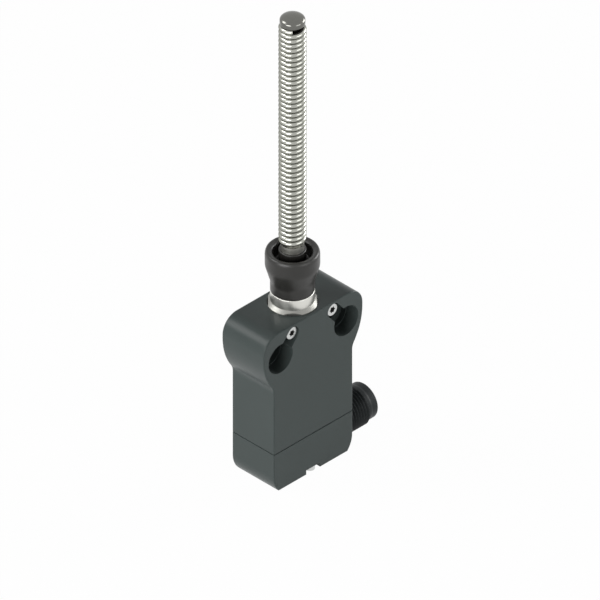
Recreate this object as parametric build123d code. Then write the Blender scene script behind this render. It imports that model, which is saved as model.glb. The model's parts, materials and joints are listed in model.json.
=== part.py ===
from build123d import *
import os
from math import sqrt, sin, cos, radians

os.makedirs("parts", exist_ok=True)

# Spring rod limit switch, in millimetres. X is the width, Y the depth with the back at +Y, Z is up.
# Every piece is drawn about the rod's own axis, with heights counted from the underside, and is
# moved as it is saved: the origin is midway between the two fixing holes, on the back face.

# Body outline, seen from the front
body_width = 30.0
body_depth = 16.0
body_height = 52.0
ear_width = 37.8                # over both ears
ear_corner_radius = 5.5
ear_flank_drop = 6.5            # from the top down to the centre of the round flanks
ear_hollow_radius = 4.0         # where an ear runs into the side
foot_corner_radius = 7.4
foot_corner_height = 5.0
edge_radius = 0.4

# Walls and the seam between the body and its foot
front_wall = 2.0
side_wall = 3.0
foot_height = 12.5
gasket_thickness = 0.4
gasket_inset = 0.25
floor_thickness = 1.4
slot_width = 5.5
slot_height = 1.6
slot_roof = 1.8
cavity_corner_radius = 1.5
cavity_height = 24.0            # above the gasket, for the contact block

# Fixing holes through the ears
fixing_spacing = 25.0
fixing_height = 43.4
fixing_hole_diameter = 4.3
fixing_pocket_diameter = 9.2
fixing_pocket_depth = 4.5
fixing_seat_diameter = 8.6
fixing_seat_depth = 6.0

# Screws that lock the collar, and screws that hold the foot
lock_screw_spacing = 15.4
lock_screw_drop = 2.85          # from the top of the body down to their axes
lock_screw_diameter = 2.5
lock_head_diameter = 3.9
lock_head_height = 1.6
lock_head_recess = 0.5
lock_head_gap = 0.25
lock_screw_length = 11.0
lock_socket_width = 1.7
foot_screw_inset = 1.4          # from the front and back faces to their axes
foot_screw_diameter = 2.0
foot_head_diameter = 2.8
foot_head_height = 1.25
foot_screw_length = 14.6
foot_boss_diameter = 3.8
foot_boss_height = 4.2
foot_socket_width = 1.2

# Collar
collar_diameter = 14.1
collar_across_flats = 13.2
collar_height = 4.3
collar_chamfer = 0.25
barrel_diameter = 13.8
barrel_length = 5.0
spigot_diameter = 10.3
spigot_height = 2.7
bead_depth = 0.15
collar_ring_section = 0.95
collar_ring_drop = 0.8

# Tilt mechanism inside the collar
tilt_limit = 15.0               # degrees
pivot_rise = 1.0                # above the top of the body
pivot_pin_diameter = 1.2
stem_diameter = 3.5
plate_diameter = 8.4
plate_thickness = 1.2
plate_drop = 1.6                # from the pivot down to the top of the plate
swivel_diameter = 8.8
swivel_bore = 6.5
swivel_flange_diameter = 10.6
swivel_flange_thickness = 1.1
swivel_rise = 1.3               # from the pivot up to the underside of the ring
swivel_height = 2.7
swivel_leg_width = 2.4
swivel_leg_drop = 1.0           # from the pivot down to the end of each leg
clip_thickness = 0.7
clip_width = 0.9

# Rod: ferrule, coil and tip
ferrule_diameter = 6.4
ferrule_rise = 9.5              # from the pivot up to its underside
coil_diameter = 7.64
wire_diameter = 1.5
coil_pitch = 1.52
coil_turns = 46.5
coil_start_angle = 45.0         # so that the upper end of the wire faces the front left
coil_rise = 19.62               # from the top of the body up to the wire's lower end
coil_spigot_length = 7.0
coil_spigot_gap = 0.1
tip_diameter = 7.0
tip_rim_height = 1.2
tip_dome_height = 1.5
tip_plug_length = 6.0

# Boot
boot_neck_diameter = 12.16
boot_neck_height = 3.2
boot_cup_diameter = 15.0
boot_cup_rise = 8.1             # from the collar's shoulder up to the widest part
boot_cup_height = 3.6
boot_rim_height = 1.2
boot_mouth_diameter = 10.8
boot_mouth_drop = 0.75
boot_floor_drop = 4.6           # from the rim's top down to the floor of the cup
boot_skin = 1.0
boot_sleeve_diameter = 7.55
boot_sleeve_rise = 0.35         # of the sleeve above the rim

# Plunger, its guide and its spring
plunger_diameter = 3.2
plunger_head_diameter = 9.2
plunger_head_thickness = 1.0
plunger_gap = 0.1
guide_thickness = 3.2
guide_boss_diameter = 4.6
spring_seat_diameter = 7.2
spring_seat_depth = 1.4
return_spring_diameter = 6.4
return_spring_wire = 0.5
return_spring_turns = 4
seal_diameter = 5.6
seal_height = 1.1
seal_lip = 0.45

# Contact block
block_height = 16.3
block_wall = 1.5
block_roof = 2.0
block_lid = 1.5
carrier_width = 5.0
carrier_depth = 6.0
carrier_height = 10.0
window_depth = 3.8
window_height = 5.6
window_drop = 2.4               # from the carrier's top down to its window
bridge_length = 15.0
bridge_depth = 3.2
bridge_thickness = 0.5
rivet_diameter = 1.8
rivet_height = 0.4
contact_reach = 5.2             # from the middle out to the inner end of the fixed contacts
contact_thickness = 0.6
contact_depth = 2.4
contact_tail_gap = 1.2
contact_tail_length = 3.0
contact_spring_diameter = 2.6
contact_spring_wire = 0.36
contact_spring_turns = 5

# Plug connector on the right-hand side
connector_height = 6.0
connector_thread_diameter = 12.0
connector_thread_length = 9.7
connector_nose_diameter = 10.75
connector_nose_length = 2.1
connector_chamfer = 0.6
connector_neck_diameter = 9.6
connector_wall = 3.7
connector_bore = 8.7
connector_insert_diameter = 8.0
connector_insert_reach = 3.9    # of the insert beyond the side of the body
connector_pin_diameter = 1.0
connector_pin_circle = 5.3
connector_pin_reach = 6.5
connector_pin_tail = 2.0
connector_pins = 4
connector_ring_section = 0.8

# Clearances
running_gap = 0.05              # a shaft in its bore
seating_gap = 0.05              # a fixed piece in its seat
free_gap = 0.3                  # between pieces that move past each other

# Heights and lengths that follow from the sizes above
gasket_top = foot_height + gasket_thickness
cavity_top = gasket_top + cavity_height
ear_flank_height = body_height - ear_flank_drop
lock_screw_height = body_height - lock_screw_drop
shoulder_height = body_height + collar_height
barrel_foot = body_height - barrel_length
guide_foot = barrel_foot - guide_thickness
pivot_height = body_height + pivot_rise
plate_top = pivot_height - plate_drop
plate_foot = plate_top - plate_thickness
swivel_foot = pivot_height + swivel_rise
swivel_top = swivel_foot + swivel_height
swivel_shelf = swivel_foot + swivel_flange_thickness
chamber_diameter = swivel_flange_diameter + 2 * running_gap
plunger_top = plate_foot - plunger_gap
plunger_head_foot = plunger_top - plunger_head_thickness
coil_foot = body_height + coil_rise
coil_top = coil_foot + wire_diameter + coil_pitch * coil_turns
ferrule_foot = pivot_height + ferrule_rise
ferrule_top = coil_foot - coil_spigot_gap
plug_diameter = coil_diameter - 2 * wire_diameter - 2 * coil_spigot_gap
boot_foot = shoulder_height + seating_gap
boot_top = boot_foot + boot_cup_rise + boot_cup_height + boot_rim_height
boot_sleeve_top = boot_top + boot_sleeve_rise
cavity_half_width = body_width / 2 - side_wall
cavity_half_depth = body_depth / 2 - front_wall
foot_screw_offset = body_depth / 2 - foot_screw_inset
block_top = cavity_top - free_gap / 2
block_foot = block_top - block_height
block_half_width = cavity_half_width - free_gap / 2
block_half_depth = cavity_half_depth - free_gap / 2
block_groove_radius = foot_boss_diameter / 2 + free_gap / 2
block_cavity_half_depth = foot_screw_offset - block_groove_radius - 2 * free_gap
block_cavity_half_width = block_half_width - block_wall
block_cavity_foot = block_foot + block_lid
plunger_travel = plate_diameter / 2 * sin(radians(tilt_limit))
plunger_travel -= (plate_drop + plate_thickness) * (1 - cos(radians(tilt_limit)))
carrier_top = block_top - block_roof - free_gap
carrier_foot = carrier_top - carrier_height
bridge_top = carrier_top - window_drop - plunger_gap
closed_contact_height = bridge_top + rivet_height + running_gap
open_contact_height = bridge_top - bridge_thickness - rivet_height - plunger_travel - 2 * running_gap
contact_reach_end = block_cavity_half_width - free_gap
side_face = body_width / 2
connector_end = side_face + connector_thread_length + connector_chamfer + connector_nose_length


def save(name, solid):
    to_origin = Location((0, -body_depth / 2, -fixing_height))
    export_step(to_origin * solid, f"parts/{name}.step")


def column(diameter, low, high, x=0.0, y=0.0):
    """An upright cylinder between two heights."""
    return Pos(x, y, (low + high) / 2) * Cylinder(diameter / 2, high - low)


def block(x_low, x_high, y_low, y_high, z_low, z_high):
    centre = Pos((x_low + x_high) / 2, (y_low + y_high) / 2, (z_low + z_high) / 2)
    return centre * Box(x_high - x_low, y_high - y_low, z_high - z_low)


def bar_y(diameter, y_low, y_high, x, z):
    """A cylinder that runs from front to back."""
    return Pos(x, (y_low + y_high) / 2, z) * Rot(90, 0, 0) * Cylinder(diameter / 2, y_high - y_low)


def bar_x(diameter, x_low, x_high, y, z):
    """A cylinder that runs from left to right."""
    return Pos((x_low + x_high) / 2, y, z) * Rot(0, 90, 0) * Cylinder(diameter / 2, x_high - x_low)


def turned(*points):
    """A ring or shaft turned about the rod's axis from points of radius and height."""
    outline = Polyline([(radius, 0, height) for radius, height in points], close=True)
    return revolve(make_face(outline), Axis.Z)


def torus_ring(inner_diameter, section, height):
    centre_radius = inner_diameter / 2 + section / 2
    return Pos(0, 0, height) * Torus(centre_radius, section / 2)


def helix_wire(outer_diameter, wire, pitch, turns, foot, start_angle=0.0):
    """A wound wire whose lowest point is at the foot."""
    path = Helix(pitch=pitch, height=pitch * turns, radius=(outer_diameter - wire) / 2)
    section = Plane(origin=path @ 0, z_dir=path % 0) * Circle(wire / 2)
    wound = sweep(section, path=path, is_frenet=True)
    return Pos(0, 0, foot + wire / 2) * Rot(0, 0, start_angle) * wound


def body_outline():
    """The body from its seam up, as one face on the front plane."""
    half = body_width / 2
    ear = ear_width / 2
    hollow_x = half + ear_hollow_radius
    reach = ear + ear_hollow_radius
    hollow_z = ear_flank_height - sqrt(reach ** 2 - hollow_x ** 2)
    touch_x = hollow_x * ear / reach
    touch_z = ear_flank_height - (ear_flank_height - hollow_z) * ear / reach
    low_angle = -45.0 * (ear_flank_height - hollow_z) / hollow_x
    flank_x = ear * cos(radians(low_angle / 2))
    flank_z = ear_flank_height + ear * sin(radians(low_angle / 2))
    middle_x = hollow_x - ear_hollow_radius * cos(radians(low_angle / -2))
    middle_z = hollow_z + ear_hollow_radius * sin(radians(low_angle / -2))
    corner_x = ear - ear_corner_radius
    corner_z = body_height - ear_corner_radius
    diagonal = ear_corner_radius * cos(radians(45))
    side = Line((half, gasket_top), (half, hollow_z))
    hollow = ThreePointArc((half, hollow_z), (middle_x, middle_z), (touch_x, touch_z))
    flank = ThreePointArc((touch_x, touch_z), (flank_x, flank_z), (ear, ear_flank_height))
    upright = Line((ear, ear_flank_height), (ear, corner_z))
    corner = ThreePointArc((ear, corner_z), (corner_x + diagonal, corner_z + diagonal),
                           (corner_x, body_height))
    top = Line((corner_x, body_height), (0, body_height))
    half_edge = [side, hollow, flank, upright, corner, top]
    other_half = [edge.mirror(Plane.YZ) for edge in half_edge]
    seam = Line((-half, gasket_top), (half, gasket_top))
    return make_face(half_edge + other_half + [seam])


def foot_outline():
    """The foot below its seam, with its two round corners cut off by the underside."""
    half = body_width / 2
    centre_x = half - foot_corner_radius
    end_x = centre_x + sqrt(foot_corner_radius ** 2 - foot_corner_height ** 2)
    middle = Vector(end_x - centre_x + foot_corner_radius, -foot_corner_height, 0).normalized()
    middle_x = centre_x + foot_corner_radius * middle.X
    middle_z = foot_corner_height + foot_corner_radius * middle.Y
    side = Line((half, foot_height), (half, foot_corner_height))
    corner = ThreePointArc((half, foot_corner_height), (middle_x, middle_z), (end_x, 0))
    half_edge = [side, corner]
    other_half = [edge.mirror(Plane.YZ) for edge in half_edge]
    seam = Line((-half, foot_height), (half, foot_height))
    sole = Line((-end_x, 0), (end_x, 0))
    return make_face(half_edge + other_half + [seam, sole])


def slab(face, depth):
    """A front outline made as deep as the body, centred on the rod's axis."""
    upright = Plane.XZ * face
    return extrude(upright, amount=depth / 2, both=True)


def soften_faces(solid, seam_height):
    """Round the edges of the front and back faces, apart from the sharp one at the seam."""
    front = solid.faces().sort_by(Axis.Y)[0]
    back = solid.faces().sort_by(Axis.Y)[-1]
    outline = [edge for edge in front.edges() + back.edges()
               if abs(edge.center().Z - seam_height) > edge_radius]
    return fillet(outline, edge_radius)


def cavity(low, high):
    """The room inside the walls, with rounded upright corners."""
    room = block(-cavity_half_width, cavity_half_width, -cavity_half_depth, cavity_half_depth, low, high)
    return fillet(room.edges().filter_by(Axis.Z), cavity_corner_radius)


def foot_bosses(low, high):
    """Round bosses for the foot screws, inside the front and back walls."""
    bosses = Part()
    for y in (-foot_screw_offset, foot_screw_offset):
        bosses += column(foot_boss_diameter, low, high, 0, y)
    inside = block(-cavity_half_width, cavity_half_width, -cavity_half_depth - front_wall / 2,
                   cavity_half_depth + front_wall / 2, low, high)
    return bosses & inside


def fixing_pocket(side):
    """What is cut from one ear: the fixing hole, its stepped pocket and the lock screw's keyhole."""
    front = -body_depth / 2
    hole_x = side * fixing_spacing / 2
    screw_x = side * lock_screw_spacing / 2
    head_pocket = lock_head_diameter + 2 * lock_head_gap
    cut = bar_y(fixing_hole_diameter, front, body_depth / 2, hole_x, fixing_height)
    cut += bar_y(fixing_seat_diameter, front, front + fixing_seat_depth, hole_x, fixing_height)
    cut += bar_y(fixing_pocket_diameter, front, front + fixing_pocket_depth, hole_x, fixing_height)
    seat_depth = lock_head_recess + lock_head_height
    cut += bar_y(head_pocket, front, front + seat_depth, screw_x, lock_screw_height)
    run = Vector(hole_x - screw_x, 0, fixing_height - lock_screw_height)
    angle = Vector(1, 0, 0).get_signed_angle(run, Vector(0, -1, 0))
    keyway = Pos(run.length / 2, 0, 0) * Box(run.length, fixing_pocket_depth, head_pocket)
    keyway -= Rot(90, 0, 0) * Cylinder(head_pocket / 2, fixing_pocket_depth)
    shallow = Pos(run.length / 4, 0, 0) * Box(run.length / 2, seat_depth, head_pocket)
    place = Pos(screw_x, front + fixing_pocket_depth / 2, lock_screw_height) * Rot(0, -angle, 0)
    cut += place * keyway
    cut += Pos(screw_x, front + seat_depth / 2, lock_screw_height) * Rot(0, -angle, 0) * shallow
    bolt_end = front + seat_depth + lock_screw_length
    cut += bar_y(lock_screw_diameter + 2 * seating_gap, front, bolt_end + seating_gap,
                 screw_x, lock_screw_height)
    return cut


def make_housing():
    shell = soften_faces(slab(body_outline(), body_depth), gasket_top)
    shell -= cavity(gasket_top, cavity_top)
    shell += foot_bosses(gasket_top, gasket_top + foot_boss_height)
    shell -= column(barrel_diameter + 2 * seating_gap, guide_foot, body_height)
    shell -= column(plunger_head_diameter, cavity_top, guide_foot)
    for side in (-1, 1):
        shell -= fixing_pocket(side)
    for y in (-foot_screw_offset, foot_screw_offset):
        shell -= column(foot_screw_diameter, gasket_top, gasket_top + foot_boss_height - free_gap, 0, y)
    return shell


def make_foot():
    shell = soften_faces(slab(foot_outline(), body_depth), foot_height)
    room = cavity(floor_thickness, foot_height)
    room -= block(side_face - connector_wall, side_face, -body_depth, body_depth, 0, foot_height)
    roof = slot_height + slot_roof
    room -= block(-slot_width / 2 - slot_roof, slot_width / 2 + slot_roof, -body_depth, body_depth, 0, roof)
    shell -= room
    shell += foot_bosses(floor_thickness, foot_height)
    shell -= block(-slot_width / 2, slot_width / 2, -body_depth, body_depth, 0, slot_height)
    neck = connector_neck_diameter + 2 * seating_gap
    shell -= bar_x(neck, side_face - connector_wall - free_gap, side_face + free_gap, 0, connector_height)
    for y in (-foot_screw_offset, foot_screw_offset):
        shell -= column(foot_screw_diameter + 2 * seating_gap, slot_height, foot_height, 0, y)
    return shell


def make_gasket():
    half = body_width / 2 - gasket_inset
    depth = body_depth / 2 - gasket_inset
    sheet = block(-half, half, -depth, depth, foot_height, gasket_top)
    sheet -= cavity(foot_height, gasket_top)
    sheet += foot_bosses(foot_height, gasket_top)
    for y in (-foot_screw_offset, foot_screw_offset):
        sheet -= column(foot_screw_diameter + 2 * seating_gap, foot_height, gasket_top, 0, y)
    return sheet


def make_foot_screws():
    screws = []
    for y in (-foot_screw_offset, foot_screw_offset):
        head_foot = slot_height - foot_head_height
        screw = column(foot_head_diameter, head_foot, slot_height, 0, y)
        screw += column(foot_screw_diameter, slot_height, slot_height + foot_screw_length, 0, y)
        slot = extrude(RegularPolygon(foot_socket_width / 2, 6), amount=foot_head_height / 2)
        screws.append(screw - Pos(0, y, head_foot) * slot)
    return Compound(screws)


def make_lock_screws():
    screws = []
    front = -body_depth / 2 + lock_head_recess
    seat = front + lock_head_height
    for side in (-1, 1):
        x = side * lock_screw_spacing / 2
        screw = bar_y(lock_head_diameter, front, seat, x, lock_screw_height)
        screw += bar_y(lock_screw_diameter, seat, seat + lock_screw_length, x, lock_screw_height)
        socket = extrude(RegularPolygon(lock_socket_width / 2, 6), amount=lock_head_height / 2)
        screws.append(screw - Pos(x, front, lock_screw_height) * Rot(-90, 0, 0) * socket)
    return Compound(screws)


def make_collar():
    """The turned collar, with four flats, a groove for the lock screws and a spigot for the boot."""
    half = collar_diameter / 2
    bore = swivel_diameter / 2 + running_gap
    spigot = spigot_diameter / 2
    bead_height = shoulder_height + spigot_height - 2 * bead_depth
    head = turned((bore, body_height), (half, body_height), (half, shoulder_height - collar_chamfer),
                  (half - collar_chamfer, shoulder_height), (spigot, shoulder_height),
                  (spigot, bead_height - 3 * bead_depth), (spigot + bead_depth, bead_height),
                  (spigot, shoulder_height + spigot_height), (bore, shoulder_height + spigot_height))
    flats = Box(collar_across_flats, collar_across_flats, 2 * (shoulder_height + spigot_height))
    head &= Rot(0, 0, 45) * flats
    barrel = column(barrel_diameter, barrel_foot, body_height)
    collar = head + barrel
    collar -= column(2 * bore, barrel_foot, shoulder_height + spigot_height)
    collar -= column(chamber_diameter, barrel_foot, swivel_shelf + running_gap)
    clip_foot = swivel_foot - running_gap - clip_thickness - running_gap
    collar -= column(chamber_diameter + clip_width, clip_foot, swivel_foot - running_gap)
    ring_floor = barrel_diameter - 2 * collar_ring_section + 2 * seating_gap
    ring_middle = body_height - collar_ring_drop
    ring_half = collar_ring_section / 2 + seating_gap
    collar -= turned((ring_floor / 2, ring_middle - ring_half), (barrel_diameter, ring_middle - ring_half),
                     (barrel_diameter, ring_middle + ring_half), (ring_floor / 2, ring_middle + ring_half))
    groove = lock_screw_spacing / 2 - lock_screw_diameter / 2 - 3 * seating_gap
    groove_half = lock_screw_diameter / 2 + seating_gap
    collar -= turned((groove, lock_screw_height - groove_half),
                     (barrel_diameter, lock_screw_height - groove_half),
                     (barrel_diameter, lock_screw_height + groove_half),
                     (groove, lock_screw_height + groove_half))
    return collar


def make_collar_ring():
    inner = barrel_diameter + 2 * seating_gap - 2 * collar_ring_section
    return torus_ring(inner, collar_ring_section, body_height - collar_ring_drop)


def make_retaining_clip():
    """A spring clip that keeps the swivel ring up in the collar, open on one side."""
    outer = chamber_diameter / 2 + clip_width / 2 - running_gap
    inner = outer - clip_width
    low = swivel_foot - 2 * running_gap - clip_thickness
    high = low + clip_thickness
    ring = turned((inner, low), (outer, low), (outer, high), (inner, high))
    gap = Rot(0, 0, 90) * block(0, outer, -clip_width, clip_width, low, high)
    return ring - gap


def make_swivel():
    """The ring that turns in the collar, with two legs that hold the pivot pin."""
    ring = turned((swivel_bore / 2, swivel_foot), (swivel_flange_diameter / 2, swivel_foot),
                  (swivel_flange_diameter / 2, swivel_shelf), (swivel_diameter / 2, swivel_shelf),
                  (swivel_diameter / 2, swivel_top), (swivel_bore / 2, swivel_top))
    inner = stem_diameter / 2 + free_gap
    outer = swivel_diameter / 2
    legs = Part()
    for side in (-1, 1):
        y_low, y_high = sorted((side * inner, side * outer))
        legs += block(-swivel_leg_width / 2, swivel_leg_width / 2, y_low, y_high,
                      pivot_height - swivel_leg_drop, swivel_shelf)
    legs &= column(swivel_diameter, pivot_height - swivel_leg_drop, swivel_shelf)
    hole = bar_y(pivot_pin_diameter + running_gap, -outer, outer, 0, pivot_height)
    return ring + legs - hole


def make_pivot_pin():
    half = swivel_diameter / 2 - free_gap
    return bar_y(pivot_pin_diameter, -half, half, 0, pivot_height)


def make_stem():
    """The tilting stem: a plate that presses the plunger, a thin neck, a ferrule and the coil's spigot."""
    neck = stem_diameter / 2
    ferrule = ferrule_diameter / 2
    plug = plug_diameter / 2
    plug_top = ferrule_top + coil_spigot_length
    cone = ferrule - neck
    stem = turned((0, plate_foot), (plate_diameter / 2, plate_foot), (plate_diameter / 2, plate_top),
                  (neck, plate_top), (neck, ferrule_foot - cone), (ferrule, ferrule_foot),
                  (ferrule, ferrule_top), (plug, ferrule_top), (plug, plug_top - plug / 2),
                  (plug / 2, plug_top), (0, plug_top))
    hole = bar_y(pivot_pin_diameter + 2 * running_gap, -stem_diameter, stem_diameter, 0, pivot_height)
    return stem - hole


def make_coil():
    return helix_wire(coil_diameter, wire_diameter, coil_pitch, coil_turns, coil_foot, coil_start_angle)


def make_tip():
    """A domed cap on the coil's end, with a plug inside the last turns."""
    half = tip_diameter / 2
    plug = plug_diameter / 2
    foot = coil_top + seating_gap
    plug_foot = foot - tip_plug_length
    rim = foot + tip_rim_height
    top = rim + tip_dome_height
    middle = (half * cos(radians(45)), rim + tip_dome_height * sin(radians(45)))
    sides = Polyline((0, plug_foot), (plug, plug_foot), (plug, foot), (half, foot), (half, rim))
    dome = Spline((half, rim), middle, (0, top), tangents=[(0, 1), (-1, 0)])
    middle_line = Line((0, top), (0, plug_foot))
    return revolve(Plane.XZ * make_face([sides, dome, middle_line]), Axis.Z)


def make_boot():
    """The rubber boot: a neck on the collar's spigot, a wide cup and a sleeve round the ferrule."""
    neck = boot_neck_diameter / 2
    cup = boot_cup_diameter / 2
    mouth = boot_mouth_diameter / 2
    sleeve = boot_sleeve_diameter / 2
    bore = ferrule_diameter / 2 + seating_gap
    spigot = spigot_diameter / 2 + bead_depth + seating_gap
    cone_foot = boot_foot + boot_neck_height
    cup_foot = boot_foot + boot_cup_rise
    cup_top = cup_foot + boot_cup_height
    cup_floor = boot_top - boot_floor_drop
    inner_cup = cup - 2 * boot_skin
    half_round = boot_rim_height / 2
    rim_middle = (cup + mouth) / 2
    lines = Polyline((rim_middle, boot_top - half_round / 4), (mouth, boot_top - boot_mouth_drop),
                     (mouth, cup_floor + boot_skin), (mouth - boot_skin / 2, cup_floor),
                     (sleeve, cup_floor), (sleeve, boot_sleeve_top), (bore, boot_sleeve_top),
                     (bore, cup_floor - boot_skin), (inner_cup, cup_floor - boot_skin),
                     (spigot, cone_foot + boot_skin), (spigot, boot_foot), (neck, boot_foot),
                     (neck, cone_foot), (cup, cup_foot), (cup, cup_top))
    rim = ThreePointArc((cup, cup_top), (cup - half_round / 2, cup_top + half_round * 1.35),
                        (rim_middle, boot_top - half_round / 4))
    return revolve(Plane.XZ * make_face([lines, rim]), Axis.Z)


def make_plunger():
    """The mushroom that the plate presses down, on a shank that reaches the contact carrier."""
    head = column(plunger_head_diameter, plunger_head_foot, plunger_top)
    return head + column(plunger_diameter, carrier_top, plunger_head_foot)


def make_guide():
    guide = column(barrel_diameter, guide_foot, barrel_foot)
    seat = barrel_foot - spring_seat_depth
    guide -= turned((guide_boss_diameter / 2, seat), (spring_seat_diameter / 2, seat),
                    (spring_seat_diameter / 2, barrel_foot), (guide_boss_diameter / 2, barrel_foot))
    guide -= column(seal_diameter + 2 * seating_gap, guide_foot, guide_foot + seal_height)
    return guide - column(plunger_diameter + 2 * running_gap, guide_foot, barrel_foot)


def make_seal():
    """A lip seal round the plunger, in the underside of the guide."""
    lip = plunger_diameter / 2 + running_gap
    outer = seal_diameter / 2
    top = guide_foot + seal_height
    return turned((lip + seal_lip, guide_foot), (outer, guide_foot), (outer, top),
                  (lip, top), (lip, top - seal_lip), (lip + seal_lip, top - 2 * seal_lip))


def make_return_spring():
    seat = barrel_foot - spring_seat_depth
    room = plunger_head_foot - seat - return_spring_wire - 2 * seating_gap
    return helix_wire(return_spring_diameter, return_spring_wire, room / return_spring_turns,
                      return_spring_turns, seat + seating_gap)


def make_block_body():
    """The moulded case of the contact block, open below."""
    body = block(-block_half_width, block_half_width, -block_half_depth, block_half_depth,
                 block_cavity_foot, block_top)
    body = fillet(body.edges().filter_by(Axis.Z), cavity_corner_radius)
    body -= block(-block_cavity_half_width, block_cavity_half_width,
                  -block_cavity_half_depth, block_cavity_half_depth,
                  block_cavity_foot, block_top - block_roof)
    for y in (-foot_screw_offset, foot_screw_offset):
        body -= column(2 * block_groove_radius, block_cavity_foot, block_top, 0, y)
    return body - column(plunger_diameter + 2 * running_gap, block_cavity_foot, block_top)


def contact_tails():
    """The places, from the middle outwards, of the two tails on one side."""
    outer = contact_reach_end - contact_thickness
    return outer - contact_tail_gap, outer


def make_block_lid():
    lid = block(-block_half_width, block_half_width, -block_half_depth, block_half_depth,
                block_foot, block_cavity_foot)
    lid = fillet(lid.edges().filter_by(Axis.Z), cavity_corner_radius)
    for y in (-foot_screw_offset, foot_screw_offset):
        lid -= column(2 * block_groove_radius, block_foot, block_cavity_foot, 0, y)
    for tail in contact_tails():
        for side in (-1, 1):
            x_low, x_high = sorted((side * (tail - seating_gap), side * (tail + contact_thickness + seating_gap)))
            half = contact_depth / 2 + seating_gap
            lid -= block(x_low, x_high, -half, half, block_foot, block_cavity_foot)
    return lid


def make_carrier():
    carrier = block(-carrier_width / 2, carrier_width / 2, -carrier_depth / 2, carrier_depth / 2,
                    carrier_foot, carrier_top)
    window_top = carrier_top - window_drop
    return carrier - block(-carrier_width, carrier_width, -window_depth / 2, window_depth / 2,
                           window_top - window_height, window_top)


def make_bridge():
    """The moving contact strip, with a rivet on each face at each end."""
    foot = bridge_top - bridge_thickness
    strip = block(-bridge_length / 2, bridge_length / 2, -bridge_depth / 2, bridge_depth / 2, foot, bridge_top)
    for side in (-1, 1):
        x = side * (bridge_length / 2 - rivet_diameter / 2)
        strip += column(rivet_diameter, foot - rivet_height, bridge_top + rivet_height, x)
    return strip


def make_contact_spring():
    foot = carrier_top - window_drop - window_height + seating_gap
    room = bridge_top - bridge_thickness - seating_gap - foot - contact_spring_wire
    return helix_wire(contact_spring_diameter, contact_spring_wire, room / contact_spring_turns,
                      contact_spring_turns, foot)


def fixed_contact(side, tail, rivet_low, rivet_high, tongue_low):
    """One fixed contact: a tongue with a rivet, and a tail that leaves through the lid."""
    x_low, x_high = sorted((side * contact_reach, side * (tail + contact_thickness)))
    half = contact_depth / 2
    strip = block(x_low, x_high, -half, half, tongue_low, tongue_low + contact_thickness)
    x_low, x_high = sorted((side * tail, side * (tail + contact_thickness)))
    strip += block(x_low, x_high, -half, half, block_foot - contact_tail_length,
                   tongue_low + contact_thickness)
    x = side * (bridge_length / 2 - rivet_diameter / 2)
    return strip + column(rivet_diameter, rivet_low, rivet_high, x)


def make_closed_contacts():
    """The pair that the bridge touches at rest."""
    tongue = closed_contact_height + rivet_height
    tail = contact_tails()[1]
    return Compound([fixed_contact(side, tail, closed_contact_height, tongue, tongue) for side in (-1, 1)])


def make_open_contacts():
    """The pair that the bridge meets when the plunger is down."""
    tongue = open_contact_height - rivet_height - contact_thickness
    tail = contact_tails()[0]
    top = tongue + contact_thickness
    return Compound([fixed_contact(side, tail, top, open_contact_height, tongue) for side in (-1, 1)])


def make_connector_shell():
    """The plug shell: a neck in the foot's wall, the thread's full diameter and a smooth nose."""
    inner_end = side_face - connector_wall
    thread_end = side_face + connector_thread_length
    nose = thread_end + connector_chamfer
    neck = connector_neck_diameter / 2
    thread = connector_thread_diameter / 2
    tip = connector_nose_diameter / 2
    rear_bore = connector_insert_diameter / 2 + seating_gap
    bore = connector_bore / 2
    step = side_face + connector_insert_reach
    end = connector_end - connector_chamfer / 2
    ring = connector_ring_section + seating_gap
    ring_inner = (neck + thread - ring) / 2
    points = [(rear_bore, inner_end), (neck, inner_end), (neck, side_face), (ring_inner, side_face),
              (ring_inner, side_face + ring), (ring_inner + ring, side_face + ring),
              (ring_inner + ring, side_face), (thread, side_face), (thread, thread_end), (tip, nose),
              (tip, end), (tip - connector_chamfer / 2, connector_end), (bore, connector_end),
              (bore, step), (rear_bore, step)]
    return along_x(turned(*points))


def along_x(solid):
    """Lay a piece that was turned about Z along the connector's axis."""
    return Pos(0, 0, connector_height) * Rot(0, 90, 0) * solid


def make_connector_ring():
    ring = connector_ring_section + seating_gap
    inner = (connector_neck_diameter + connector_thread_diameter) / 2 - ring + seating_gap
    return along_x(torus_ring(inner, connector_ring_section, side_face + connector_ring_section / 2))


def pin_places():
    places = PolarLocations(connector_pin_circle / 2, connector_pins)
    return [location.position for location in places]


def make_connector_insert():
    low = side_face - connector_wall
    insert = column(connector_insert_diameter, low, side_face + connector_insert_reach)
    for place in pin_places():
        insert -= column(connector_pin_diameter + seating_gap, low, connector_end, place.X, place.Y)
    return along_x(insert)


def make_connector_pins():
    low = side_face - connector_wall - connector_pin_tail
    high = side_face + connector_insert_reach + connector_pin_reach
    pins = []
    for place in pin_places():
        pin = column(connector_pin_diameter, low, high, place.X, place.Y)
        tip = pin.edges().filter_by(GeomType.CIRCLE).sort_by(Axis.Z)[-1]
        pins.append(along_x(chamfer(tip, connector_pin_diameter / 4)))
    return Compound(pins)


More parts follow.
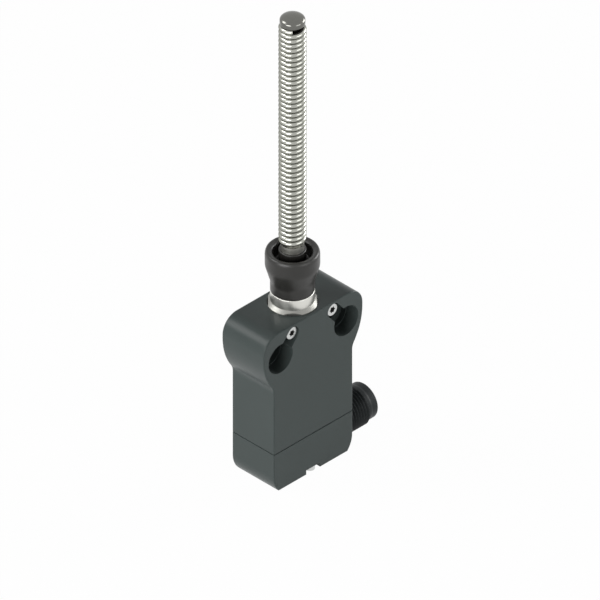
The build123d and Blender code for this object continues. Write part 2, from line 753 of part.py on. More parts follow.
save("housing", make_housing())
save("foot", make_foot())
save("foot_gasket", make_gasket())
save("foot_screws", make_foot_screws())
save("lock_screws", make_lock_screws())
save("collar", make_collar())
save("collar_o_ring", make_collar_ring())
save("retaining_clip", make_retaining_clip())
save("swivel_ring", make_swivel())
save("pivot_pin", make_pivot_pin())
save("stem", make_stem())
save("coil_rod", make_coil())
save("tip_cap", make_tip())
save("boot", make_boot())
save("plunger", make_plunger())
save("plunger_guide", make_guide())
save("plunger_seal", make_seal())
save("return_spring", make_return_spring())
save("contact_block", make_block_body())
save("contact_block_lid", make_block_lid())
save("contact_carrier", make_carrier())
save("contact_bridge", make_bridge())
save("contact_spring", make_contact_spring())
save("closed_contacts", make_closed_contacts())
save("open_contacts", make_open_contacts())
save("connector_shell", make_connector_shell())
save("connector_o_ring", make_connector_ring())
save("connector_insert", make_connector_insert())
save("connector_pins", make_connector_pins())
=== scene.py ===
import json
from math import atan2, cos, pi, radians, sin, sqrt
import bmesh
import bpy
from mathutils import Matrix, Vector


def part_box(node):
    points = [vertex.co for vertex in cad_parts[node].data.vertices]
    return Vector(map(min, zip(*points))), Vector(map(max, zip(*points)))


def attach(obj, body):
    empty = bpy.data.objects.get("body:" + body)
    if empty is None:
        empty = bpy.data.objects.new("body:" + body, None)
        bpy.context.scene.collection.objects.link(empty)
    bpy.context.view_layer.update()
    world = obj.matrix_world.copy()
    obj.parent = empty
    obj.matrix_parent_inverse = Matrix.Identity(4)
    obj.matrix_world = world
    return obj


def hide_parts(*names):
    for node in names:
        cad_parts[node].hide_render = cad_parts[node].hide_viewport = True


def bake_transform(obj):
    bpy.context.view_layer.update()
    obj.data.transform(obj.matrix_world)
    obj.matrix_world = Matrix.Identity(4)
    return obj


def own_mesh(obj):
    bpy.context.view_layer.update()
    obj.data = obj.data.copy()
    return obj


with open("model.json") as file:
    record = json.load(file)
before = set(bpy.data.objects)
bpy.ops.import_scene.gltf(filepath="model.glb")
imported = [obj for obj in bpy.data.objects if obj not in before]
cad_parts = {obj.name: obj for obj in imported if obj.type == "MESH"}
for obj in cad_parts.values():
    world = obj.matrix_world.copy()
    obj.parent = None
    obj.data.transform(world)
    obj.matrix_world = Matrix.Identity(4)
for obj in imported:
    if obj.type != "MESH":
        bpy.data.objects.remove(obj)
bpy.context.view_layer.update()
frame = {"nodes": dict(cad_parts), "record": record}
print("frame loaded")

mm = 0.001
rodLine = Vector((0, -8, 0))  # the rod's own axis in the row frame, mm
holeHeight = 43.4  # height of the fixing holes above the underside, mm
slack = 0.01  # mm, tells points on different rings or levels apart


def place(x, y, height):
    # a point measured from the rod's axis and the underside, in mm, as metres in the row frame
    return Vector((x + rodLine.x, y + rodLine.y, height - holeHeight)) * mm


class Wire:
    # wraps an output socket, so that maths on it adds Math nodes
    def __init__(self, look, socket):
        self.look = look
        self.socket = socket

    def calc(self, operation, first, second):
        values = {0: first, 1: second}
        return self.look.node("ShaderNodeMath", {"operation": operation}, values)

    def __add__(self, other):
        return self.calc("ADD", self, other)

    def __radd__(self, other):
        return self.calc("ADD", other, self)

    def __mul__(self, other):
        return self.calc("MULTIPLY", self, other)


class Look:
    # one material with its principled shader
    def __init__(self, name, **fixed):
        self.material = bpy.data.materials.new(name)
        self.material.use_nodes = True
        self.tree = self.material.node_tree
        self.shader = self.tree.nodes["Principled BSDF"]
        for socketName, value in fixed.items():
            self.shader.inputs[socketName.replace("_", " ")].default_value = value

    def node(self, kind, settings=None, values=None, output=None):
        made = self.tree.nodes.new(kind)
        for key, value in (settings or {}).items():
            setattr(made, key, value)
        for key, value in (values or {}).items():
            if isinstance(value, Wire):
                self.tree.links.new(value.socket, made.inputs[key])
            else:
                made.inputs[key].default_value = value
        if output is None:
            return Wire(self, next(o for o in made.outputs if o.enabled))
        return Wire(self, made.outputs[output])

    def stretched(self, start, scale):
        return self.node("ShaderNodeMapping", values={"Vector": start, "Scale": scale})

    def ownPoint(self):
        return self.node("ShaderNodeTexCoord", output="Object")

    def noise(self, scale, detail, vector=None):
        values = {"Vector": vector or self.ownPoint(), "Scale": scale, "Detail": detail}
        return self.node("ShaderNodeTexNoise", values=values, output="Fac")

    def blendColours(self, factor, first, second):
        # inputs 6 and 7 are the two colours of a Mix node set to colours, and output 2 is its colour
        values = {0: factor, 6: (*first, 1) if isinstance(first, tuple) else first,
                  7: (*second, 1) if isinstance(second, tuple) else second}
        return self.node("ShaderNodeMix", {"data_type": "RGBA"}, values, output=2)

    def feed(self, **inputs):
        for socketName, wire in inputs.items():
            self.tree.links.new(wire.socket, self.shader.inputs[socketName.replace("_", " ")])

    def bump(self, height, strength, distance):
        values = {"Height": height, "Strength": strength, "Distance": distance}
        self.feed(Normal=self.node("ShaderNodeBump", values=values))


paint = {"gloss": 0.15, "cloudScale": 60, "cloudShare": 0.6, "grainScale": 2600, "grainShare": 0.4,
         "roughness": 0.26, "cloudRoughness": 0.10, "peelScale": 900, "peelShare": 0.6,
         "bumpStrength": 0.08, "bumpDepth": 0.00003}


def paintedMetal(name, light, dark):
    # satin powder paint: a fine orange peel, and soft clouds in the colour
    look = Look(name, Specular_IOR_Level=paint["gloss"])
    clouds = look.noise(paint["cloudScale"], 4)
    grain = look.noise(paint["grainScale"], 2)
    mixed = clouds * paint["cloudShare"] + grain * paint["grainShare"]
    look.feed(Base_Color=look.blendColours(mixed, dark, light),
              Roughness=paint["roughness"] + clouds * paint["cloudRoughness"])
    peel = look.noise(paint["peelScale"], 2)
    look.bump(grain + peel * paint["peelShare"], paint["bumpStrength"], paint["bumpDepth"])
    return look.material


plating = {"markScale": 900, "hazeScale": 120, "markShare": 0.5, "hazeShare": 0.5,
           "markRoughness": 0.06, "hazeRoughness": 0.10, "bumpDepth": 0.00002}


def metal(name, light, dark, roughness, bumpStrength=0.12, squeeze=1):
    # plated or drawn metal: tool marks squeezed in height, so that they run round the piece
    look = Look(name, Metallic=1.0)
    marks = look.noise(plating["markScale"], 3, look.stretched(look.ownPoint(), (1, 1, squeeze)))
    haze = look.noise(plating["hazeScale"], 3)
    mixed = haze * plating["hazeShare"] + marks * plating["markShare"]
    uneven = roughness + haze * plating["hazeRoughness"] + marks * plating["markRoughness"]
    look.feed(Base_Color=look.blendColours(mixed, dark, light), Roughness=uneven)
    look.bump(marks, bumpStrength, plating["bumpDepth"])
    return look.material


moulding = {"cloudScale": 90, "skinShare": 0.4, "cloudShare": 0.6, "cloudRoughness": 0.12,
            "skinRoughness": 0.05, "bumpDepth": 0.00003}


def moulded(name, light, dark, roughness, gloss=0.4, skinScale=1600, bumpStrength=0.15):
    # moulded plastic or rubber with a fine even skin
    look = Look(name, Specular_IOR_Level=gloss)
    skin = look.noise(skinScale, 3)
    clouds = look.noise(moulding["cloudScale"], 3)
    mixed = skin * moulding["skinShare"] + clouds * moulding["cloudShare"]
    uneven = roughness + clouds * moulding["cloudRoughness"] + skin * moulding["skinRoughness"]
    look.feed(Base_Color=look.blendColours(mixed, dark, light), Roughness=uneven)
    look.bump(skin, bumpStrength, moulding["bumpDepth"])
    return look.material


# shade is the colour of the painted shade that darkens the wire between the turns
drawnWire = {"light": (0.47, 0.475, 0.43), "dark": (0.36, 0.365, 0.33), "shade": (0.10, 0.10, 0.095),
             "edgeTint": (0.35, 0.35, 0.33, 1), "markStretch": (24, 3, 1), "markScale": 3,
             "roughness": 0.15, "grooveRoughness": 0.20, "markRoughness": 0.06,
             "bumpStrength": 0.06, "bumpDepth": 0.00001}


def coilSteel():
    # bright wire: marks drawn along it, and painted shade deep between the turns
    look = Look("coilWireSteel", Metallic=1.0, Specular_Tint=drawnWire["edgeTint"])
    along = look.node("ShaderNodeUVMap", {"uv_map": "wireMap"})
    marks = look.noise(drawnWire["markScale"], 3, look.stretched(along, drawnWire["markStretch"]))
    # painted shade: the mask made with the coil darkens the wire deep between the turns
    grooveShadeMask = look.node("ShaderNodeAttribute", {"attribute_name": "grooveShadeMask"}, output="Fac")
    bright = look.blendColours(marks, drawnWire["dark"], drawnWire["light"])
    uneven = (drawnWire["roughness"] + grooveShadeMask * drawnWire["grooveRoughness"]
              + marks * drawnWire["markRoughness"])
    look.feed(Base_Color=look.blendColours(grooveShadeMask, bright, drawnWire["shade"]), Roughness=uneven)
    look.bump(marks, drawnWire["bumpStrength"], drawnWire["bumpDepth"])
    return look.material


# the looks under a material slot's name dress the CAD nodes, and the others belong to single pieces
looks = {
    "body_paint": paintedMetal("satinHousingPaint", (0.060, 0.073, 0.071), (0.046, 0.057, 0.055)),
    "rubber_black": moulded("bootRubber", (0.020, 0.019, 0.017), (0.012, 0.012, 0.011), 0.27,
                            0.42, 1200, 0.08),
    "seal_rubber": moulded("sealRubber", (0.016, 0.016, 0.016), (0.009, 0.009, 0.009), 0.6),
    "nickel": metal("nickelPlate", (0.74, 0.735, 0.69), (0.60, 0.595, 0.56), 0.22, 0.03, 12),
    # painted shade: a darker nickel for the collar's flare, standing in for its dark reflection
    "nickelFootShade": metal("nickelFootShade", (0.30, 0.30, 0.28), (0.22, 0.22, 0.205), 0.34, 0.03, 12),
    "spring_steel": metal("springWire", (0.72, 0.71, 0.69), (0.52, 0.51, 0.50), 0.22),
    "tip_steel": metal("tipSteel", (0.19, 0.19, 0.175), (0.135, 0.135, 0.125), 0.12, 0.04, 8),
    "stem_steel": metal("stemSteel", (0.46, 0.46, 0.42), (0.36, 0.36, 0.33), 0.30, 0.05, 10),
    "screw_steel": metal("screwSteel", (0.66, 0.67, 0.66), (0.48, 0.49, 0.48), 0.28),
    "connector_black": moulded("plugShellPlastic", (0.022, 0.026, 0.027), (0.015, 0.018, 0.019),
                               0.36, 0.16),
    "insert_black": moulded("plugInsertPlastic", (0.020, 0.020, 0.020), (0.010, 0.010, 0.010), 0.55),
    "gold_pins": metal("goldPlate", (0.86, 0.62, 0.26), (0.70, 0.47, 0.17), 0.18),
    "bush_plastic": moulded("naturalNylon", (0.66, 0.65, 0.60), (0.55, 0.54, 0.49), 0.45),
    "case_plastic": moulded("contactCasePlastic", (0.030, 0.030, 0.034), (0.018, 0.018, 0.020), 0.45),
    "lid_plastic": moulded("contactLidPlastic", (0.36, 0.060, 0.035), (0.27, 0.042, 0.025), 0.42),
    # painted light: the gasket is lighter than the paint, to make up for the shade in the seam's
    # groove
    "gasketSheetPaintedLight": moulded("gasketSheetPaintedLight", (0.075, 0.090, 0.087), (0.060, 0.073, 0.071), 0.5, 0.15),
    "socketShade": metal("socketShade", (0.17, 0.17, 0.165), (0.10, 0.10, 0.097), 0.45),
    "contact_brass": metal("contactBrass", (0.74, 0.54, 0.24), (0.56, 0.39, 0.15), 0.28),
    "coilSteel": coilSteel(),
}
for entry in frame["record"]["subparts"]:
    node = frame["nodes"][entry["node"]]
    node.data.materials.clear()
    node.data.materials.append(looks[entry["material_slot"]])
# painted light: the lightened gasket look goes on the seam between housing and foot
frame["nodes"]["foot_gasket"].data.materials[0] = looks["gasketSheetPaintedLight"]
print("materials made")


def turned(points, steps=96):
    # a closed outline of (radius, height) in mm, with a rounding where it has one, spun about Z
    shape = bmesh.new()
    corners = [shape.verts.new((point[0] * mm, 0, point[1] * mm)) for point in points]
    roundings = [point[2] if len(point) == 3 else 0 for point in points]
    shape.faces.new(corners)
    for rounding in sorted(set(roundings) - {0}):
        chosen = [corner for corner, own in zip(corners, roundings) if own == rounding]
        bmesh.ops.bevel(shape, geom=chosen, affect="VERTICES", offset=rounding * mm, segments=6,
                        profile=0.5, material=-1)
    bmesh.ops.delete(shape, geom=shape.faces[:], context="FACES_ONLY")
    middle = [edge for edge in shape.edges if all(vert.co.x < 1e-8 for vert in edge.verts)]
    bmesh.ops.delete(shape, geom=middle, context="EDGES")
    bmesh.ops.spin(shape, geom=shape.verts[:] + shape.edges[:], cent=(0, 0, 0), axis=(0, 0, 1),
                   angle=2 * pi, steps=steps, use_merge=True)
    bmesh.ops.remove_doubles(shape, verts=shape.verts[:], dist=1e-7)
    bmesh.ops.recalc_face_normals(shape, faces=shape.faces[:])
    return shape


def wound(section, pitch, turns, stepsPerTurn):
    # a closed section of (radius, height) in mm, wound round Z, with both ends closed
    shape = bmesh.new()
    corners = [shape.verts.new((radius * mm, 0, height * mm)) for radius, height in section]
    start = shape.faces.new(corners)
    steps = round(turns * stepsPerTurn)
    bmesh.ops.spin(shape, geom=[start] + start.edges[:] + start.verts[:], cent=(0, 0, 0),
                   axis=(0, 0, 1), dvec=(0, 0, pitch * mm / stepsPerTurn),
                   angle=2 * pi * steps / stepsPerTurn, steps=steps)
    bmesh.ops.recalc_face_normals(shape, faces=shape.faces[:])
    return shape


def woundWire(spring, pitch):
    # a round wire wound round Z, whose lowest point is at the spring's foot
    ringRadius = (spring["outer"] - spring["wire"]) / 2
    low = spring["foot"] + spring["wire"] / 2
    ring = bmesh.new()
    bmesh.ops.create_circle(ring, segments=spring["sides"], radius=spring["wire"] / 2)
    section = [(ringRadius + vert.co.x, low + vert.co.y) for vert in ring.verts]
    ring.free()
    return wound(section, pitch, spring["turns"], spring["stepsPerTurn"])


def addShape(shape, extra):
    # puts the extra shape into the first one
    mesh = bpy.data.meshes.new("extra")
    extra.to_mesh(mesh)
    extra.free()
    shape.from_mesh(mesh)
    bpy.data.meshes.remove(mesh)


def addObject(name, data):
    made = bpy.data.objects.new(name, data)
    bpy.context.scene.collection.objects.link(made)
    return made


def finishPiece(name, shape, slot, body=None, move=Matrix.Identity(4), sharpAngle=40, look=None):
    shape.transform(move)
    mesh = bpy.data.meshes.new(name)
    shape.to_mesh(mesh)
    shape.free()
    mesh.materials.append(looks[look or slot])
    mesh.shade_smooth()
    mesh.set_sharp_from_angle(angle=radians(sharpAngle))
    piece = addObject(name, mesh)
    if body:
        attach(piece, body)
    return piece


onRod = Matrix.Translation(place(0, 0, 0))

coil = {"outer": 7.64, "wire": 1.5, "pitch": 1.52, "turns": 46.5, "foot": 71.62, "startAngle": 45,
        "sides": 18, "stepsPerTurn": 36, "shadeFrom": 0.18, "shadeDepth": 0.75,
        "bendFrom": 71.0, "bendTo": 82.0}


def makeCoil():
    pitch = coil["pitch"]
    ringRadius = (coil["outer"] - coil["wire"]) / 2
    low = coil["foot"] + coil["wire"] / 2
    shape = woundWire(coil, pitch)
    # painted shade: the deeper a point lies between the turns, the darker the wire is coloured there
    grooveShadeMask = shape.verts.layers.float.new("grooveShadeMask")
    for vert in shape.verts:
        depth = coil["outer"] / 2 - vert.co.xy.length / mm
        vert[grooveShadeMask] = min(max((depth - coil["shadeFrom"]) / coil["shadeDepth"], 0.0), 1.0)
    # the map runs round the wire in u and along it in v
    wireMap = shape.loops.layers.uv.new("wireMap")
    for face in shape.faces:
        for loop in face.loops:
            point = loop.vert.co
            height = point.z / mm
            turn = atan2(point.y, point.x) / (2 * pi)
            centre = low + pitch * (turn + round((height - low) / pitch - turn))
            around = atan2(height - centre, point.xy.length / mm - ringRadius) / (2 * pi)
            loop[wireMap].uv = (around + 0.5, turn + 0.5)
    spin = onRod @ Matrix.Rotation(radians(coil["startAngle"]), 4, "Z")
    piece = finishPiece("coilSpring", shape, "spring_steel", move=spin, look="coilSteel")
    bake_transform(piece)
    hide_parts("coil_rod")


makeCoil()
print("coil made")


tip = {"diameter": 7.0, "foot": 143.85, "rim": 1.2, "dome": 1.5, "edgeRound": 0.12,
       "plug": 4.44, "plugLength": 6.0, "plugRound": 0.3}


def makeTip():
    half, plugHalf = tip["diameter"] / 2, tip["plug"] / 2
    foot = tip["foot"]
    plugFoot, rimTop = foot - tip["plugLength"], foot + tip["rim"]
    dome = [(half * cos(radians(a)), rimTop + tip["dome"] * sin(radians(a)))
            for a in range(0, 90, 10)]
    outline = [(0, plugFoot), (plugHalf, plugFoot, tip["plugRound"]), (plugHalf, foot),
               (half, foot, tip["edgeRound"]), *dome, (0, rimTop + tip["dome"])]
    piece = finishPiece("tipCap", turned(outline), "tip_steel", "rod", onRod)
    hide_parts("tip_cap")


makeTip()
print("tip made")


# one turn fewer than the solid has, so that it doesn't close up before the plunger's full travel
returnSpring = {"outer": 6.4, "wire": 0.5, "turns": 3, "foot": 45.65, "top": 49.05, "travel": 1.05,
                "sides": 12, "stepsPerTurn": 48}


def makeReturnSpring():
    height = returnSpring["top"] - returnSpring["foot"]
    shape = woundWire(returnSpring, (height - returnSpring["wire"]) / returnSpring["turns"])
    piece = finishPiece("returnSpring", shape, "spring_steel", "housing", onRod)
    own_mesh(piece)
    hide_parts("return_spring")


makeReturnSpring()
print("return spring made")


collar = {"neck": 12.2, "edge": 0.15, "shoulder": 56.3,
          "foot": 14.1, "acrossFlats": 13.2, "footRim": 0.25, "footHeight": 52.0, "lip": 13.0,
          "barrel": 13.8, "barrelFoot": 47.0, "bore": 8.9, "chamber": 10.7, "chamberTop": 55.45,
          "clipFloor": 11.6, "clipFoot": 53.5, "clipTop": 54.25,
          "ringFloor": 12.0, "ringFoot": 50.675, "ringTop": 51.725,
          "lockFloor": 12.6, "lockFoot": 47.85, "lockTop": 50.45,
          "spigot": 10.3, "spigotTop": 59.0, "bead": 10.6, "beadFoot": 58.25, "beadTop": 58.7,
          "steps": 192}


def makeCollar():
    # the collar widens into a foot on the body, whose flare is coloured darker as painted shade for
    # its dark reflection of the boot, and four flats cut the foot
    barrel, bore, chamber = collar["barrel"] / 2, collar["bore"] / 2, collar["chamber"] / 2
    neck, foot, spigot = collar["neck"] / 2, collar["foot"] / 2, collar["spigot"] / 2
    lip, bead, clipFloor = collar["lip"] / 2, collar["bead"] / 2, collar["clipFloor"] / 2
    lockFloor, ringFloor = collar["lockFloor"] / 2, collar["ringFloor"] / 2
    lockFoot, ringFoot, clipFoot = collar["lockFoot"], collar["ringFoot"], collar["clipFoot"]
    lockTop, ringTop, clipTop = collar["lockTop"], collar["ringTop"], collar["clipTop"]
    footHeight, shoulder, barrelFoot = collar["footHeight"], collar["shoulder"], collar["barrelFoot"]
    chamberTop, spigotTop = collar["chamberTop"], collar["spigotTop"]
    rimTop = footHeight + collar["footRim"]
    outline = [(chamber, barrelFoot), (barrel, barrelFoot),
               (barrel, lockFoot), (lockFloor, lockFoot), (lockFloor, lockTop), (barrel, lockTop),
               (barrel, ringFoot), (ringFloor, ringFoot), (ringFloor, ringTop), (lip, ringTop),
               (lip, footHeight), (foot, footHeight), (foot, rimTop), (neck, rimTop + foot - neck),
               (neck, shoulder, collar["edge"]), (spigot, shoulder),
               (spigot, collar["beadFoot"]), (bead, collar["beadTop"]), (spigot, spigotTop),
               (bore, spigotTop), (bore, chamberTop), (chamber, chamberTop),
               (chamber, clipTop), (clipFloor, clipTop), (clipFloor, clipFoot), (chamber, clipFoot)]
    shape = turned(outline, collar["steps"])
    flat = collar["acrossFlats"] / 2 * mm
    for vert in shape.verts:
        radius = vert.co.xy.length
        reach = (abs(vert.co.x) + abs(vert.co.y)) / sqrt(2)
        if radius > (foot - slack) * mm and reach > flat:
            vert.co.xy *= flat / reach
            if vert.co.z > (footHeight + slack) * mm:
                vert.co.z += radius - vert.co.xy.length
    # painted shade: the faces of the foot's flare take the darker nickel
    for face in shape.faces:
        centre = face.calc_center_median()
        if centre.xy.length > neck * mm and centre.z > (footHeight + slack) * mm:
            face.material_index = 1
    piece = finishPiece("collarRing", shape, "nickel", "housing", onRod, 25)
    piece.data.materials.append(looks["nickelFootShade"])
    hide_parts("collar")


makeCollar()
print("collar made")


boot = {"neck": 12.16, "foot": 56.35, "neckTop": 59.55, "cup": 15.0, "cupFoot": 64.45,
        "rimTop": 69.25, "rimFall": 0.1, "mouth": 10.8, "mouthFall": 0.65, "floor": 64.65,
        "sleeve": 7.55, "sleeveTop": 69.6, "bore": 6.5, "spigot": 10.7, "skin": 1.0,
        "footRound": 0.25, "neckRound": 0.5, "cupRound": 0.6, "rimRound": 1.35, "crownRound": 0.4,
        "mouthRound": 0.35, "floorRound": 0.6, "sleeveRound": 0.3, "underRound": 0.3,
        "innerRound": 0.8, "tallEdge": 1.5, "cuts": 5, "bendTo": 69.0}


def makeBoot():
    neck, cup, mouth = boot["neck"] / 2, boot["cup"] / 2, boot["mouth"] / 2
    sleeve, bore, spigot = boot["sleeve"] / 2, boot["bore"] / 2, boot["spigot"] / 2
    foot, neckTop, rimTop, floor = boot["foot"], boot["neckTop"], boot["rimTop"], boot["floor"]
    sleeveTop, skin = boot["sleeveTop"], boot["skin"]
    outline = [(neck, foot, boot["footRound"]), (neck, neckTop, boot["neckRound"]),
               (cup, boot["cupFoot"], boot["cupRound"]),
               (cup, rimTop - boot["rimFall"], boot["rimRound"]),
               ((cup + mouth) / 2, rimTop, boot["crownRound"]),
               (mouth, rimTop - boot["mouthFall"], boot["mouthRound"]),
               (mouth, floor, boot["floorRound"]), (sleeve, floor, boot["floorRound"]),
               (sleeve, sleeveTop, boot["sleeveRound"]), (bore, sleeveTop),
               (bore, floor - skin, boot["underRound"]),
               (cup - 2 * skin, floor - skin, boot["innerRound"]),
               (spigot, neckTop + skin, boot["innerRound"]), (spigot, foot)]
    shape = turned(outline)
    tall = [edge for edge in shape.edges
            if abs(edge.verts[0].co.z - edge.verts[1].co.z) > boot["tallEdge"] * mm]
    bmesh.ops.subdivide_edges(shape, edges=tall, cuts=boot["cuts"], use_grid_fill=True)
    piece = finishPiece("rubberBoot", shape, "rubber_black", move=onRod)
    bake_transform(piece)
    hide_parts("boot")


makeBoot()
print("boot made")


plug = {"height": 6, "side": 15.0, "wall": 3.7, "neck": 9.6, "thread": 12.0, "root": 11.0,
        "threadLength": 9.7, "flange": 1.0, "rootFrom": 1.5, "chamfer": 0.6, "nose": 10.75,
        "noseLength": 2.1, "bore": 8.7, "rearBore": 8.1, "insertReach": 3.9, "ringInner": 4.975,
        "ringRoom": 0.85, "sideRound": 0.05, "flangeRound": 0.12, "chamferRound": 0.1,
        "noseRound": 0.4, "boreRound": 0.25, "pitch": 1.0, "ridgeFrom": 1.3, "ridgeSpare": 0.7,
        "ridgeWidth": 0.92, "ridgeSunk": 0.15, "crestWidth": 0.14, "crestFall": 0.06, "ridgeSteps": 48}


def makePlugShell():
    # modelled upright, then laid along X
    side = plug["side"]
    threadEnd = side + plug["threadLength"]
    noseFoot = threadEnd + plug["chamfer"]
    end = noseFoot + plug["noseLength"]
    neck, root, nose = plug["neck"] / 2, plug["root"] / 2, plug["nose"] / 2
    bore, rear, outer = plug["bore"] / 2, plug["rearBore"] / 2, plug["thread"] / 2
    wallFoot = side - plug["wall"]
    step = side + plug["insertReach"]
    ringInner, ringTop = plug["ringInner"], side + plug["ringRoom"]
    ringOuter = ringInner + plug["ringRoom"]
    outline = [(rear, wallFoot), (neck, wallFoot), (neck, side), (ringInner, side),
               (ringInner, ringTop), (ringOuter, ringTop), (ringOuter, side),
               (outer, side, plug["sideRound"]), (outer, side + plug["flange"], plug["flangeRound"]),
               (root, side + plug["rootFrom"]), (root, threadEnd, plug["chamferRound"]),
               (nose, noseFoot, plug["chamferRound"]), (nose, end, plug["noseRound"]),
               (bore, end, plug["boreRound"]), (bore, step), (rear, step)]
    shape = turned(outline)
    start = side + plug["ridgeFrom"]
    turns = int(threadEnd - plug["ridgeSpare"] - start)
    crest, foot = outer - slack, root - plug["ridgeSunk"]
    middle, crestHalf = start + plug["ridgeWidth"] / 2, plug["crestWidth"] / 2
    edge = crest - plug["crestFall"]
    section = [(foot, start), (foot, start + plug["ridgeWidth"]), (edge, middle + crestHalf),
               (crest, middle), (edge, middle - crestHalf)]
    addShape(shape, wound(section, plug["pitch"], turns, plug["ridgeSteps"]))
    laid = Matrix.Translation(place(0, 0, plug["height"])) @ Matrix.Rotation(radians(90), 4, "Y")
    piece = finishPiece("plugShell", shape, "connector_black", "housing", laid, 30)
    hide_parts("connector_shell")


makePlugShell()
print("plug made")


screw = {"spacing": 15.4, "height": 49.15, "front": -8.0, "recess": 0.5, "head": 3.9,
         "headLength": 1.6, "headRound": 0.25, "shank": 2.5, "length": 11.0, "star": 2.1,
         "starPoints": 6, "starValley": 0.70, "starDepth": 1.1, "sides": 36}


def vertsOf(geometry):
    return [item for item in geometry if isinstance(item, bmesh.types.BMVert)]


def edgesOf(verts):
    return list({edge for vert in verts for edge in vert.link_edges})


def closeRing(shape, verts):
    return shape.faces.new(sorted(verts, key=lambda vert: atan2(vert.co.y, vert.co.x)))


def makeLockScrew(x):
    # modelled upright with its head's face at 0, then turned to face the front
    half = screw["head"] / 2
    shape = bmesh.new()
    starLoop = bmesh.ops.create_circle(shape, segments=screw["sides"],
                                       radius=screw["star"] / 2 * mm)["verts"]
    for vert in starLoop:
        wave = 0.5 + 0.5 * cos(screw["starPoints"] * atan2(vert.co.y, vert.co.x))
        vert.co *= screw["starValley"] + (1 - screw["starValley"]) * wave
    starEdges = edgesOf(starLoop)
    rimLoop = bmesh.ops.create_circle(shape, segments=screw["sides"], radius=half * mm)["verts"]
    rimEdges = edgesOf(rimLoop)
    bmesh.ops.bridge_loops(shape, edges=starEdges + rimEdges)
    sunk = bmesh.ops.extrude_edge_only(shape, edges=starEdges)["geom"]
    for item in sunk:
        if isinstance(item, bmesh.types.BMFace):
            item.material_index = 1
    bmesh.ops.translate(shape, verts=vertsOf(sunk), vec=(0, 0, -screw["starDepth"] * mm))
    closeRing(shape, vertsOf(sunk)).material_index = 1
    lower = vertsOf(bmesh.ops.extrude_edge_only(shape, edges=rimEdges)["geom"])
    bmesh.ops.translate(shape, verts=lower, vec=(0, 0, -screw["headLength"] * mm))
    under = closeRing(shape, lower)
    bmesh.ops.inset_region(shape, faces=[under], thickness=(half - screw["shank"] / 2) * mm)
    shank = vertsOf(bmesh.ops.extrude_face_region(shape, geom=[under])["geom"])
    bmesh.ops.translate(shape, verts=shank, vec=(0, 0, -screw["length"] * mm))
    bmesh.ops.delete(shape, geom=[under], context="FACES_ONLY")
    rim = [edge for edge in shape.edges
           if all(abs(vert.co.z) < 1e-7 and vert.co.length > (half - slack) * mm
                  for vert in edge.verts)]
    bmesh.ops.bevel(shape, geom=rim, affect="EDGES", offset=screw["headRound"] * mm, segments=4,
                    profile=0.5, material=-1)
    bmesh.ops.recalc_face_normals(shape, faces=shape.faces[:])
    spot = place(x, screw["front"] + screw["recess"], screw["height"])
    shape.transform(Matrix.Translation(spot) @ Matrix.Rotation(radians(90), 4, "X"))
    return shape


def makeLockScrews():
    both = makeLockScrew(-screw["spacing"] / 2)
    addShape(both, makeLockScrew(screw["spacing"] / 2))
    piece = finishPiece("lockScrews", both, "screw_steel", "housing")
    piece.data.materials.append(looks["socketShade"])
    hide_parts("lock_screws")


makeLockScrews()
print("screws made")


studio = {"floorDrop": 0.0001, "floorSize": 6.0, "floorLight": (0.88, 0.88, 0.88),
          "floorDark": (0.84, 0.84, 0.84), "floorGrain": 30, "shadowShare": 0.02, "daylight": 0.08,
          "lampTarget": 60}
lamps = {
    "softLeft": {"toward": (-0.98, -0.19, 0.12), "distance": 0.75, "size": 0.5, "power": 5.0},
    "softFront": {"toward": (0.1, -1, 0.1), "distance": 0.75, "size": 0.5, "power": 2.0},
    "softRight": {"toward": (0.946, -0.326, 0.15), "distance": 0.75, "size": 0.4, "power": 3.6},
    "rimLight": {"toward": (-0.6, 0.6, 0.6), "distance": 0.9, "size": 0.42, "power": 3.6,
                 "diffuse": 0.25},
}


def makeFloor():
    # the camera sees the floor as white, apart from a share left for the shadow
    shape = bmesh.new()
    bmesh.ops.create_grid(shape, x_segments=1, y_segments=1, size=studio["floorSize"] / 2)
    shape.transform(Matrix.Translation((0, 0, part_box("foot")[0].z - studio["floorDrop"])))
    mesh = bpy.data.meshes.new("paleFloor")
    shape.to_mesh(mesh)
    shape.free()
    look = Look("floorPaper", Roughness=0.9)
    grain = look.noise(studio["floorGrain"], 2)
    look.feed(Base_Color=look.blendColours(grain, studio["floorDark"], studio["floorLight"]))
    white = look.node("ShaderNodeEmission", values={"Color": (1, 1, 1, 1), "Strength": 1.0})
    seen, shine, clear = (look.node("ShaderNodeLightPath", output=f"Is {ray} Ray")
                          for ray in ("Camera", "Glossy", "Transmission"))
    share = (seen + shine + clear) * (1 - studio["shadowShare"])
    plain = Wire(look, look.shader.outputs[0])
    both = look.node("ShaderNodeMixShader", values={0: share, 1: plain, 2: white})
    look.tree.links.new(both.socket, look.tree.nodes["Material Output"].inputs["Surface"])
    mesh.materials.append(look.material)
    addObject("paleFloor", mesh)


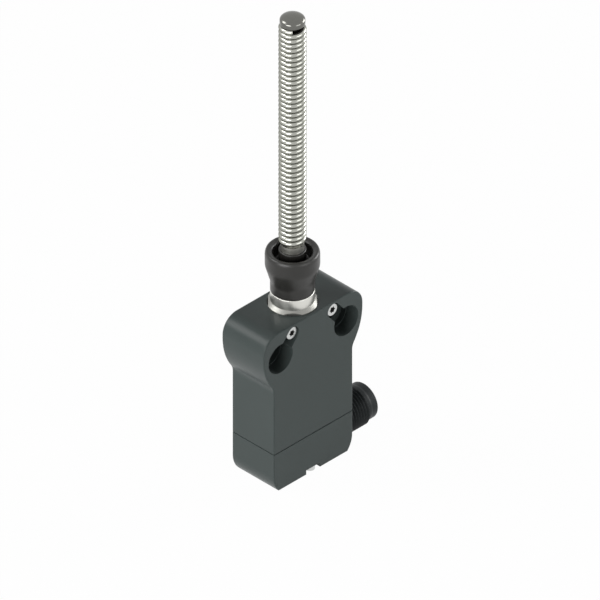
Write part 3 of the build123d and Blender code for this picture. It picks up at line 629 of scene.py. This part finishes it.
def makeWorld():
    # white where it is seen or mirrored, and dim as a light
    world = bpy.data.worlds.new("studioWorld")
    bpy.context.scene.world = world
    world.use_nodes = True
    tree = world.node_tree
    back = tree.nodes["Background"]
    back.inputs["Color"].default_value = (1, 1, 1, 1)
    path = tree.nodes.new("ShaderNodeLightPath")
    total = path.outputs["Is Camera Ray"]
    for name in ("Is Glossy Ray", "Is Transmission Ray"):
        plus = tree.nodes.new("ShaderNodeMath")
        plus.operation = "MAXIMUM"
        tree.links.new(total, plus.inputs[0])
        tree.links.new(path.outputs[name], plus.inputs[1])
        total = plus.outputs[0]
    level = tree.nodes.new("ShaderNodeMapRange")
    level.inputs["To Min"].default_value = studio["daylight"]
    level.inputs["To Max"].default_value = 1.0
    tree.links.new(total, level.inputs["Value"])
    tree.links.new(level.outputs[0], back.inputs["Strength"])


def makeLamps():
    for name, settings in lamps.items():
        lamp = bpy.data.lights.new(name, "AREA")
        lamp.shape = "SQUARE"
        lamp.size = settings["size"]
        lamp.energy = settings["power"]
        lamp.diffuse_factor = settings.get("diffuse", 1.0)
        away = Vector(settings["toward"]).normalized()
        holder = addObject(name, lamp)
        holder.location = place(0, 0, studio["lampTarget"]) + away * settings["distance"]
        holder.rotation_euler = away.to_track_quat("Z", "Y").to_euler()


view = {"azimuth": -45.0, "elevation": 35.264, "width": 0.16168, "centre": (1.433, -1.433, 52.48),
        "distance": 0.9, "farEnd": 20}


def makeCamera():
    turn, rise = radians(view["azimuth"]), radians(view["elevation"])
    back = Vector((sin(turn) * cos(rise), -cos(turn) * cos(rise), sin(rise)))
    lens = bpy.data.cameras.new("studioCamera")
    lens.type = "ORTHO"
    lens.ortho_scale = view["width"]
    lens.clip_end = view["farEnd"]
    camera = addObject("studioCamera", lens)
    camera.location = place(*view["centre"]) + back * view["distance"]
    camera.rotation_euler = back.to_track_quat("Z", "Y").to_euler()
    bpy.context.scene.camera = camera


makeFloor()
makeWorld()
makeLamps()
makeCamera()
bpy.context.scene.view_settings.view_transform = "Standard"
print("studio made")
